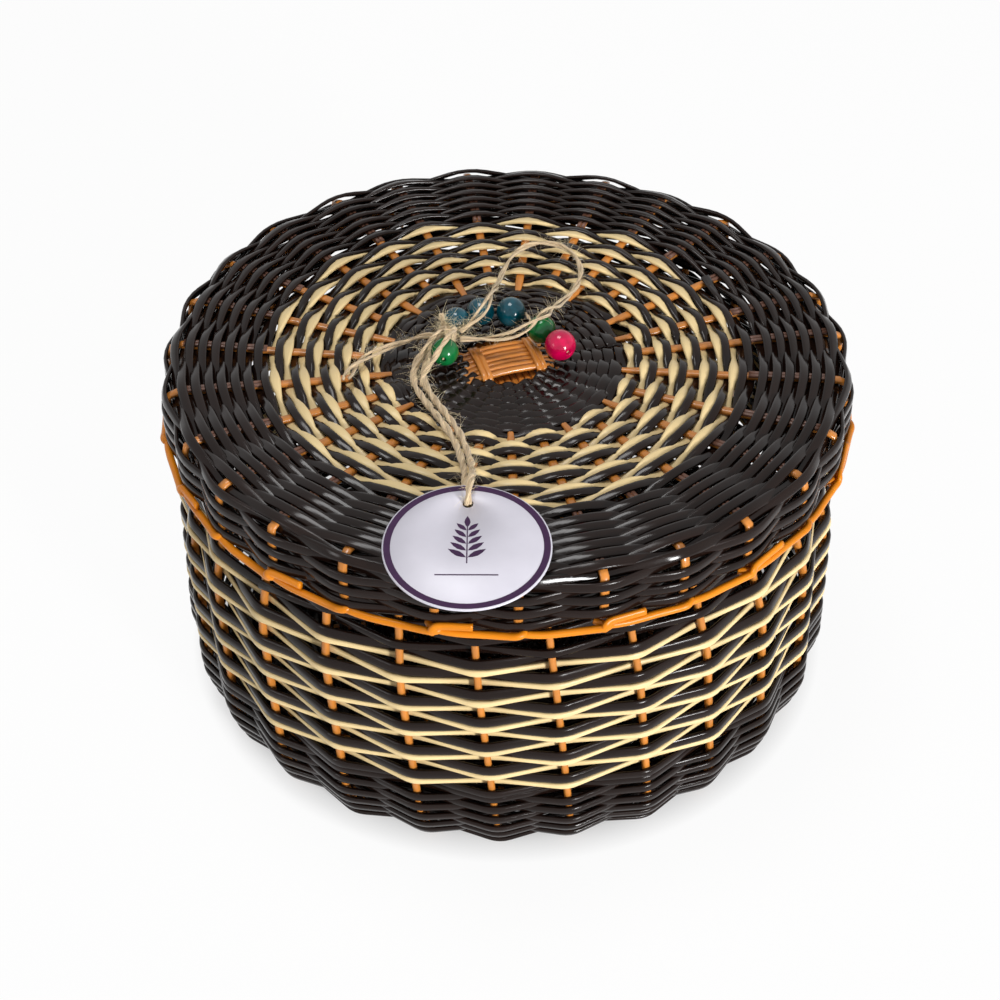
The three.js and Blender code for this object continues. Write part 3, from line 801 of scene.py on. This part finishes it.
def cord_piece(name, rows, open_up=laid_close, full=0.27, lay=42 * MM):
    """One declared cord with its loose fibres; it stands for the node of its name."""
    plies = name + "_plies"
    points = smooth_through(lid_points(rows), 5)
    surface = Surface()
    twisted(surface, points, sizes().twine_diameter, lay, plies, open_up, full)
    piece = surface.piece(plies, JUTE, "lid", [name])
    length = sum((b - a).length for a, b in zip(points, points[1:]))
    hairs = Surface()
    loose_fibres(hairs, points, int(sizes().hairs * length / 0.1), plies + " fibres")
    fibres = hairs.piece(plies + "_fibres", FIBRE, "lid")


# Tag


def tag_place():
    """The middle of the tag's underside, and how the tag leans on the lid's edge."""
    middle = Vector((-15 * MM, -133.2 * MM, LID_TOP + 1.6 * MM))
    return Matrix.Translation(middle) @ Matrix.Rotation(math.radians(5), 4, "X")


def card_tag():
    """The round card with its hole, its printed ring and a plain sprig."""
    place = tag_place()
    radius, hole, inset = sizes().tag_radius, 2.1 * MM, 10.2 * MM
    centre = Vector((0, radius - inset, 0))
    # The cut edges are a little rounded: (height, how far the edge draws in), in millimetres.
    edge = [(height * MM, draw_in * MM) for height, draw_in in ((0, 0.25), (0.2, 0), (0.8, 0), (1.0, 0.2))]
    loops = [circle(radius - draw_in, height) for height, draw_in in edge]
    loops += [circle(hole + draw_in, height, centre) for height, draw_in in reversed(edge)]
    surface = Surface()
    places = [[(p.x, p.y, 0.0) for p in loop] for loop in loops]
    surface.grid([[place @ p for p in loop] for loop in loops], places, closed=True)
    card = surface.piece("card_tag", CARD, "lid", ["tag"])
    ink = Surface()
    for outline in printed_ring(29.3, 31.9) + sprig():
        ink.printed(outline, place, TAG_THICKNESS + 0.04 * MM)
    return [card, ink.piece("tag_print", INK, "lid")]


def printed_ring(inside, outside):
    starts = turns(ROUND_STEPS)
    outlines = []
    for a, b in zip(starts, starts[1:] + [2 * math.pi]):
        corners = ((inside, a), (outside, a), (outside, b), (inside, b))
        outlines.append([(radius * math.cos(turn), radius * math.sin(turn)) for radius, turn in corners])
    return outlines


def leaf(x, y, turn, length, width):
    """The outline of one pointed leaf from its stalk at x, y."""
    side = [(0.2, 0.32), (0.45, 0.5), (0.72, 0.36)]
    shape = [(0, 0), *side, (1, 0), *((u, -v) for u, v in reversed(side))]
    cos, sin = math.cos(turn), math.sin(turn)
    return [
        (x + length * u * cos - width * v * sin, y + length * u * sin + width * v * cos) for u, v in shape
    ]


def sprig():
    """A plain sprig of paired leaves with a thin rule below it."""
    shapes = [[(-0.25, -9), (0.25, -9), (0.22, 10), (-0.22, 10)]]
    for i, y in enumerate((-6, -2.5, 1, 4.5, 8)):
        length, width = 8.2 - i * 0.7, 2.6 - 0.15 * i
        for side in (1, -1):
            turn = math.pi / 2 - side * math.radians(58 - 3 * i)
            shapes.append(leaf(0.3 * side, y, turn, length, width))
    shapes.append(leaf(0, 9.6, math.pi / 2, 6, 2.4))
    shapes.append([(-12, -15.2), (12, -15.2), (12, -14.6), (-12, -14.6)])
    return [list(reversed(shape)) if area(shape) < 0 else shape for shape in shapes]


def area(outline):
    """The outline's area, below zero where it runs clockwise and so would face down."""
    return sum(a[0] * b[1] - b[0] * a[1] for a, b in zip(outline, outline[1:] + outline[:1])) / 2


# Pieces


class BASKET_OT_camera(bpy.types.Operator):
    """Sets the camera at the photographed angle"""

    bl_idname = "basket.camera"
    bl_label = "Camera"

    def execute(self, context):
        data = bpy.data.cameras.new("camera")
        camera = add_object("camera", data)
        data.sensor_fit = "HORIZONTAL"
        data.angle = math.radians(27.193)
        camera.location = (0.0, -0.7158, LID_TOP + 0.5298)
        camera.rotation_euler = (math.radians(49.123), 0.0, math.radians(0.2428))
        context.scene.camera = camera
        context.scene.view_settings.view_transform = "Standard"
        return {"FINISHED"}


def opened_three_times(share):
    return 0.3 * max(0.0, math.sin(3 * math.pi * share)) ** 2


def frayed_at_the_end(share):
    return 0.3 * share * share


class BASKET_OT_twine(bpy.types.Operator):
    """Ties the twine: its loop, its frayed tail and the two runs that hold the tag"""

    bl_idname = "basket.twine"
    bl_label = "Twine and tag"

    def execute(self, context):
        tag = card_tag()
        cord_piece("twine_loop", LOOP, opened_three_times, full=0.22)
        cord_piece("twine_tail", TAIL, frayed_at_the_end, full=0.24)
        for name, rows in (("tag_cord_over", TAG_CORD_OVER), ("tag_cord_under", TAG_CORD_UNDER)):
            cord_piece(name, rows, full=0.33, lay=19 * MM)
        return {"FINISHED"}


def knot_coil(middle, axis):
    """Four turns side by side round the string, fuller in the middle."""
    side = axis.orthogonal().normalized()
    count, steps, length = 4, 56, 6.4
    points = []
    for i in range(steps + 1):
        t = i / steps
        turn = 2 * math.pi * count * t
        out = side * math.cos(turn) + axis.cross(side) * math.sin(turn)
        swell = 2.2 + 0.9 * math.sin(math.pi * t)
        points.append(middle + axis * ((t - 0.5) * length * MM) + out * swell * MM)
    return points


def knot_wrap(middle, axis):
    """The last turn, which goes over the others at a slant."""
    steps = 18
    points = []
    for i in range(steps + 1):
        t = i / steps
        turn = -0.6 + 1.5 * math.pi * t
        out = Vector((-math.cos(turn) * 3.4, 0.6 * math.sin(2 * turn), math.sin(turn) * 3.2)) * MM
        points.append(middle + out + axis * (t - 0.5) * 3 * MM)
    return points


class BASKET_OT_knot(bpy.types.Operator):
    """Ties the knot round the bead string, with its frayed stub"""

    bl_idname = "basket.knot"
    bl_label = "Knot"

    def execute(self, context):
        a, b = lid_points(STRING)[2:4]
        axis, middle = (b - a).normalized(), (a + b) / 2
        surface, hairs = Surface(), Surface()
        coil = knot_coil(middle, axis)
        twisted(surface, coil, 2.4 * MM, 9 * MM, "coil")
        twisted(surface, knot_wrap(middle, axis), 2.3 * MM, 9 * MM, "wrap")
        loose_fibres(hairs, coil, 130, "knot fibres", reach=(4, 12), start=1.2, thick=0.07)
        route = ((-1.0, 2.5, 1.2), (-1.8, 4.6, 3.0), (-2.4, 6.0, 5.0), (-2.6, 7.0, 6.6))
        stub = smooth_through([middle + Vector(p) * MM for p in route], 4)
        twisted(surface, stub, 2.4 * MM, 9 * MM, "stub")
        loose_fibres(hairs, stub, 60, "stub fibres", reach=(3, 7), start=0.9, thick=0.07)
        # Two turns lie over the green bead before they go down into the runs to the tag.
        for name, rows in (("inner turn", INNER_TURN), ("outer turn", OUTER_TURN)):
            turn = smooth_through(lid_points(rows), 5)
            twisted(surface, turn, 2.5 * MM, 14 * MM, name)
            loose_fibres(hairs, turn, 45, name + " fibres", start=0.8, thick=0.07)
        surface.piece("knot_turns", JUTE, "lid", ["twine_knot"])
        hairs.piece("knot_fibres", FIBRE, "lid")
        return {"FINISHED"}


def bead_profile(radius):
    """A bead's section beside its axis, with a drilled and eased bore; radius is in millimetres."""
    bore, lip = 1.05, 0.3
    start = math.acos((bore + lip) / radius)
    end = radius * math.sin(start)
    points = [(bore, -end + lip), (bore + 0.08, -end + 0.1)]
    for i in range(21):
        turn = start * (i / 10 - 1)
        points.append((radius * math.cos(turn), radius * math.sin(turn)))
    points += [(bore + 0.08, end - 0.1), (bore, end - lip)]
    return [(r * MM, h * MM) for r, h in points]


class BASKET_OT_beads(bpy.types.Operator):
    """Threads the six painted beads on their string"""

    bl_idname = "basket.beads"
    bl_label = "Beads"

    def execute(self, context):
        string = lid_points(STRING)
        # Its two ends stop inside the outer beads, where they are knotted out of sight.
        ends = [string[1].lerp(string[2], 0.12), *string[2:-2], string[-2].lerp(string[-3], 0.12)]
        dense = []
        for a, b in zip(ends, ends[1:]):
            parts = max(2, round((b - a).length / (1.2 * MM)))
            dense += [a.lerp(b, i / parts) for i in range(parts)]
        dense.append(ends[-1])
        surface = Surface()
        twisted(surface, dense, 1.5 * MM, 6 * MM, "string")
        surface.piece("bead_string_plies", JUTE, "lid", ["bead_string"])
        # Each bead: its node, the span of the string that it turns on, its radius and its colour.
        rows = [("bead_green_front", 1, 6.0, "green"), ("bead_teal_left", 3, 6.1, "teal")]
        rows += [("bead_teal_middle", 4, 6.1, "teal"), ("bead_teal_right", 5, 6.5, "teal")]
        rows += [("bead_green_back", 7, 6.1, "green"), ("bead_pink", 8, 6.7, "pink")]
        for node, span, radius, colour in rows:
            a, b = string[span : span + 2]
            turn = UP.rotation_difference((b - a).normalized()).to_matrix().to_4x4()
            bead = Surface()
            bead.turned(bead_profile(radius), Matrix.Translation((a + b) / 2) @ turn, steps=40)
            bead.piece(node + "_turned", BEAD + colour, node, [node])
        return {"FINISHED"}


def bind(surface, wall, away, top, seed):
    """One strand over the upper rods and down past the outermost ones, so many millimetres away."""
    edge = 3 * ROD_PITCH / MM + 1.3
    half = [(edge + 1.4, -3.6), (edge + 1.2, -1.2), (edge, 0.6), (0.55 * edge, 1.5)]
    route = [(-y, z) for y, z in half] + [(0, 2.0)] + [(y, z) for y, z in reversed(half)]
    points = [Vector((away * MM, y * MM, top + z * MM)) for y, z in route]
    for point in points:
        point.rotate(Matrix.Rotation(wall.first_stake, 3, "Z"))
    smooth = smooth_through(points, 4)
    samples = [(p, Vector((p.x * 0.2, p.y * 0.2, 1)).normalized(), 1.3 * MM, 0.9 * MM) for p in smooth]
    surface.tube(samples, sides=10, seed=seed, squared=0.8)


class BASKET_OT_lid_stakes(bpy.types.Operator):
    """Lays the lid's crossed rods, their two bindings and the stakes that they become"""

    bl_idname = "basket.lid_stakes"
    bl_label = "Lid stakes"

    def execute(self, context):
        wall = lid_wall()
        wide = (1.42 * MM, sizes().lid_stake_width / 2)
        deep = 0.72 * sizes().stake_thickness / 2
        end = wall.run[-1] - 1.5 * MM
        crossed_rods(wall, CROSSING_SINK, wide, ROD_PITCH, end, "lid_stake", "lid", deep)
        top = wall.section(CROSSING_R)[1] - CROSSING_SINK + LAYER + sizes().stake_thickness * 0.36
        for side, name in ((1, "right"), (-1, "left")):
            surface = Surface()
            for lane, seed in ((-1.15, 0.4), (1.15, 1.7)):
                bind(surface, wall, side * (12.2 + lane), top, seed)
            surface.piece("binding_" + name, ORANGE, "lid", ["slath_binding_" + name])
        return {"FINISHED"}


def weave_lid_centre(wall, end):
    pitch = 2.35 * MM
    rows = spaced(18.2 * MM, end - 2.9 * MM, pitch)
    strand = Strand(2.8 * MM, 2.45 * MM, 0.5 * MM, 1.05 * MM, bend=7 * MM, tilt=(9, 16))
    side = -1 if len(rows) % 2 else 1
    surface = weave(Surface(), wall, rows, side, strand, "lid centre", start=1, way=-1)
    # The pairs climb faster than the centre's rows, so a short row fills the wedge between them.
    filler = [rows[-2] + 2.3 * MM, rows[-2] + 5.6 * MM]
    weave(surface, wall, filler, 1, strand, "lid filler", start=1, way=-1, first=10)
    surface.piece("lid_centre_strand", DARK, "lid", ["lid_centre_weave"])


def weave_lid_edge(wall, ring, thick, reach):
    """One strand from the ring's end over the shoulder and down the skirt."""
    shoulder, after_ring = 141.5 * MM, 4.9 * MM
    pitch, skirt_pitch = 2.85 * MM, 3.2 * MM
    rows = [ring[-2] + after_ring] + spaced(ring[-1] + after_ring, shoulder, pitch)
    rows += spaced(rows[-1] + skirt_pitch, wall.run[-1] - 1.3 * MM, skirt_pitch)
    half = sizes().strand_width / 2
    strand = Strand(1.05 * half, 1.1 * half, thick, reach, bend=9.5 * MM, tilt=(13, 30))
    surface = weave(Surface(), wall, rows, 1, strand, "lid edge", start=1, way=-1)
    surface.piece("lid_edge_strand", DARK, "lid", ["lid_outer_weave", "lid_skirt_weave"])


def lay_side_strands(wall):
    """Two thin brown strands lie over each orange stake from the ring to the shoulder."""
    surface = Surface()
    half = 0.98 * MM
    for stake in range(STAKES):
        for lane in (-1, 1):
            samples = []
            for i in range(10):
                s = (104 + 4 * i) * MM
                point, normal = wall.at(s, stake, 1.0 * MM)
                aside = normal.cross(wall.onward(s, stake))
                samples.append((point + aside * (lane * half), normal, half, 0.75 * MM))
            surface.tube(samples, sides=8, seed=stake * 0.7 + lane, squared=0.8)
    surface.piece("lid_side_stakes", BROWN, "lid")


class BASKET_OT_lid_weave(bpy.types.Operator):
    """Weaves the lid: dark centre, ring of cream and dark pairs, dark edge and skirt"""

    bl_idname = "basket.lid_weave"
    bl_label = "Lid weave"

    def execute(self, context):
        wall, thick = lid_wall(), 0.8 * sizes().strand_thickness / 2
        reach = sizes().stake_thickness / 2 + thick
        ring = [LID_RING + RING_PITCH * turn for turn in range(9)]
        weave_lid_centre(wall, ring[0])
        half = sizes().cream_width / 2
        cream = Strand(1.2 * half, 0.55 * half, thick, reach, (-1.9 * MM, -1.6 * MM), 8.6 * MM, (8, 40))
        half = sizes().strand_width / 2
        dark = Strand(0.88 * half, half, thick, reach, (2.0 * MM, 1.6 * MM), 8.6 * MM, (8, 25))
        way = {"start": 1, "way": -1, "first": 1, "short": 1}
        weave_pairs(wall, ring, cream, dark, "lid_ring", "lid ring", "lid", **way)
        weave_lid_edge(wall, ring, thick, reach)
        lay_side_strands(wall)
        return {"FINISHED"}


class BASKET_OT_lid_border(bpy.types.Operator):
    """Closes the lid's edge with its bright border"""

    bl_idname = "basket.lid_border"
    bl_label = "Lid border"

    def execute(self, context):
        surface = border_arcs(lid_wall(), 148.3 * MM, BORDER_Z, sizes().border_width / 2, True)
        surface.piece("lid_border_strands", BRIGHT, "lid", ["lid_border"])
        return {"FINISHED"}


class BASKET_OT_basket_stakes(bpy.types.Operator):
    """Lays the basket's crossed rods and turns them up into stakes"""

    bl_idname = "basket.basket_stakes"
    bl_label = "Basket stakes"

    def execute(self, context):
        wall, half = basket_wall(), sizes().stake_width / 2
        deep, end = sizes().stake_thickness / 2, wall.run[-1] - 0.5 * MM
        crossed_rods(wall, 0.0, (half, half), 4.1 * MM, end, "basket_stake", "basket", deep)
        return {"FINISHED"}


def weave_base_and_foot(wall, foot, end, plain):
    base_pitch, foot_pitch = 3.2 * MM, 3.25 * MM
    rows = spaced(20 * MM, foot - 3 * MM, base_pitch)
    surface = weave(Surface(), wall, rows, 1, plain, "base")
    surface.piece("base_strand", DARK, "basket", ["base_weave"])
    rows = spaced(foot, end - 2.6 * MM, foot_pitch)
    surface = weave(Surface(), wall, rows, 1 if len(rows) % 2 else -1, plain, "foot")
    # A short row fills the wedge that opens where the pairs start to climb faster.
    filler = [rows[-2] + 1.7 * MM, rows[-2] + 7 * MM]
    weave(surface, wall, filler, -1, plain, "foot filler", first=10)
    surface.piece("wall_lower_strand", DARK, "basket", ["wall_lower_weave"])


class BASKET_OT_basket_weave(bpy.types.Operator):
    """Weaves the basket: base, dark foot, cream lattice and dark top"""

    bl_idname = "basket.basket_weave"
    bl_label = "Basket weave"

    def execute(self, context):
        wall, thick = basket_wall(), sizes().strand_thickness / 2
        reach = sizes().stake_thickness / 2 + thick
        half = sizes().strand_width / 2
        plain = Strand(half, 0.85 * half, thick, reach)
        foot = wall.s_where(lambda radius, height: radius > 137 * MM)
        low = wall.s_where(lambda radius, height: height > LATTICE_LOW)
        lattice = [low + LATTICE_PITCH * turn for turn in range(12)]
        last_stake = 16  # the stake at which the pairs end
        weave_base_and_foot(wall, foot, lattice[0], plain)
        cream = Strand(1.6 * MM, 1.15 * MM, 0.95 * thick, reach, (-2.1 * MM, -2.0 * MM), 5 * MM)
        dark = Strand(2.3 * MM, 2.4 * MM, thick, reach, (1.8 * MM, 1.45 * MM), 5 * MM)
        short = STAKES - last_stake + 1  # the pairs are tucked in behind the stake before
        weave_pairs(wall, lattice, cream, dark, "wall_lattice", "lattice", "basket", short=short)
        place, pitch = lattice[-2] + LATTICE_PITCH * last_stake / STAKES, 3.4 * MM
        rows = [place - 0.8 * MM] + spaced(place + 5.4 * MM, wall.run[-1] - 1.2 * MM, pitch)
        surface = weave(Surface(), wall, rows, 1, plain, "top", start=last_stake)
        surface.piece("wall_upper_strand", DARK, "basket", ["wall_upper_weave"])
        return {"FINISHED"}


class BASKET_OT_rim_border(bpy.types.Operator):
    """Closes the basket's rim under the lid"""

    bl_idname = "basket.rim_border"
    bl_label = "Rim border"

    def execute(self, context):
        surface = border_arcs(basket_wall(), RIM_R, RIM_Z, 1.9 * MM, False)
        surface.piece("rim_border_strands", ORANGE, "basket", ["basket_rim_border"])
        return {"FINISHED"}


def add_light(name, place, target, size, power):
    data = bpy.data.lights.new(name, "AREA")
    data.shape = "RECTANGLE"
    data.size, data.size_y = size
    data.energy = power
    lamp = add_object(name, data)
    lamp.location = place
    lamp.rotation_euler = (Vector(target) - Vector(place)).to_track_quat("-Z", "Y").to_euler()


def seen(tree):
    """1 for rays from the camera, and for mirror and glass rays that show what the camera would."""
    path = add_node(tree, "ShaderNodeLightPath").outputs
    first = maths(tree, "MAXIMUM", path["Is Camera Ray"], path["Is Glossy Ray"])
    return maths(tree, "MAXIMUM", first, path["Is Transmission Ray"])


def mix_in_white(tree, share, lit, white, output):
    """Shows a share of plain white in place of the lit surface."""
    mixed = add_node(tree, "ShaderNodeMixShader", {0: share, 1: lit, 2: white})
    tree.links.new(mixed.outputs["Shader"], tree.nodes[output].inputs["Surface"])


def lay_floor():
    mesh = bpy.data.meshes.new("floor")
    steps, radius, paper_white = 64, 6.0, 0.94
    points = [tuple(p) for p in circle(radius, 0.0, steps=steps)]
    mesh.from_pydata(points, [], [tuple(range(steps))])
    floor = add_object("floor", mesh)
    material, tree, shader = blank_material("white paper sweep", linear("#F4F4F4"), 1.45, 0.9)
    glow = add_node(tree, "ShaderNodeEmission", {"Color": (1, 1, 1, 1), "Strength": 1.0})
    # Under the basket no light reaches the paper, so its white is taken away there.
    far = add_node(tree, "ShaderNodeVectorMath", {0: object_place(tree)}, operation="LENGTH")
    inputs = {"Value": far.outputs["Value"], "From Min": 0.12, "From Max": 0.15, "To Max": paper_white}
    open_floor = add_node(tree, "ShaderNodeMapRange", inputs)
    share = maths(tree, "MULTIPLY", seen(tree), open_floor.outputs["Result"])
    mix_in_white(tree, share, shader.outputs["BSDF"], glow.outputs["Emission"], "Material Output")
    mesh.materials.append(material)


def light_room():
    world = bpy.data.worlds.new("soft room")
    bpy.context.scene.world = world
    world.use_nodes = True
    tree = world.node_tree
    room = tree.nodes["Background"]
    room.inputs["Color"].default_value = (1, 1, 1, 1)
    room.inputs["Strength"].default_value = 0.2
    white = add_node(tree, "ShaderNodeBackground", {"Color": (1, 1, 1, 1), "Strength": 1.0})
    white, room = white.outputs["Background"], room.outputs["Background"]
    mix_in_white(tree, seen(tree), room, white, "World Output")


class BASKET_OT_stage(bpy.types.Operator):
    """Sets the pale floor and the soft lights"""

    bl_idname = "basket.stage"
    bl_label = "Stage"

    def execute(self, context):
        lay_floor()
        light_room()
        add_light("window", (1.35, -1.95, 0.55), (0.0, 0.0, 0.08), (0.35, 0.6), 60.0)
        add_light("overhead", (-0.25, 0.15, 1.9), (0.0, 0.0, 0.15), (0.6, 0.6), 15.0)
        add_light("left fill", (-1.9, -1.1, 1.0), (0.0, 0.0, 0.1), (0.5, 0.5), 5.0)
        return {"FINISHED"}


OPERATORS = (
    BASKET_OT_camera,
    BASKET_OT_twine,
    BASKET_OT_knot,
    BASKET_OT_beads,
    BASKET_OT_lid_stakes,
    BASKET_OT_lid_weave,
    BASKET_OT_lid_border,
    BASKET_OT_basket_stakes,
    BASKET_OT_basket_weave,
    BASKET_OT_rim_border,
    BASKET_OT_stage,
)


class BASKET_PT_panel(bpy.types.Panel):
    """Lists the basket's pieces, sizes and colours"""

    bl_idname = "BASKET_PT_panel"
    bl_label = "Lidded basket"
    bl_space_type = "VIEW_3D"
    bl_region_type = "UI"
    bl_category = "Basket"

    def draw(self, context):
        layout = self.layout
        for operator in OPERATORS:
            layout.operator(operator.bl_idname)
        for group in (context.scene.basket_sizes, context.scene.basket_colours):
            box = layout.box()
            for name in group.__annotations__:
                box.prop(group, name)


CLASSES = (BasketSizes, BasketColours, *OPERATORS, BASKET_PT_panel)


def register():
    for cls in CLASSES:
        bpy.utils.register_class(cls)
    bpy.types.Scene.basket_sizes = PointerProperty(type=BasketSizes)
    bpy.types.Scene.basket_colours = PointerProperty(type=BasketColours)


def unregister():
    del bpy.types.Scene.basket_colours
    del bpy.types.Scene.basket_sizes
    for cls in reversed(CLASSES):
        bpy.utils.unregister_class(cls)


def main():
    register()
    for operator in OPERATORS:
        group, name = operator.bl_idname.split(".")
        getattr(getattr(bpy.ops, group), name)()


if __name__ == "__main__":
    main()
